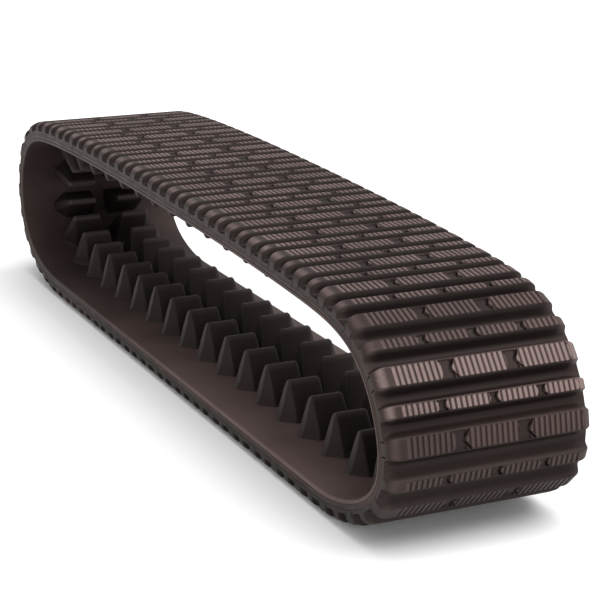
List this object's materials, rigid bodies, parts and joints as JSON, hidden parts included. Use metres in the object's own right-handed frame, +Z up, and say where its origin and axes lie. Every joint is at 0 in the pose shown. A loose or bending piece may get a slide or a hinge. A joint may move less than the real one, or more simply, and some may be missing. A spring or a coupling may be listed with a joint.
{
  "type": "rubber crawler track",
  "caption": "Endless all-rubber crawler track with two rows of internal drive lugs, smooth wheel paths and lateral tread bars, standing free on its tread.",
  "frame": {"origin": "on the ground under the middle of the track", "axes": "+X along the track towards its front bend, +Y across it to its left side, +Z up"},
  "size_m": [2.0284, 0.381, 0.4265],
  "materials": {
    "tread_rubber": "moulded, ribbed pads, slightly dusty",
    "wheel_side_rubber": "smooth moulded",
    "lug_rubber": "smooth moulded, hard compound",
    "edge_rubber": "smooth moulded edge",
    "ply_fabric": "rubberised woven ply, hidden",
    "cord_fibre": "twisted high-tensile cord, hidden"
  },
  "bodies": {
    "root": {"inner_cover": "wheel_side_rubber", "drive_lugs_left": "lug_rubber", "drive_lugs_right": "lug_rubber", "inner_fabric_ply": "ply_fabric", "tension_cord_01": "cord_fibre", "tension_cord_02": "cord_fibre", "tension_cord_03": "cord_fibre", "tension_cord_04": "cord_fibre", "tension_cord_05": "cord_fibre", "tension_cord_06": "cord_fibre", "tension_cord_07": "cord_fibre", "tension_cord_08": "cord_fibre", "tension_cord_09": "cord_fibre", "tension_cord_10": "cord_fibre", "tension_cord_11": "cord_fibre", "tension_cord_12": "cord_fibre", "tension_cord_13": "cord_fibre", "tension_cord_14": "cord_fibre", "outer_fabric_ply_1": "ply_fabric", "outer_fabric_ply_2": "ply_fabric", "edge_strip_left": "edge_rubber", "edge_strip_right": "edge_rubber", "tread": "tread_rubber"}
  },
  "joints": []
}
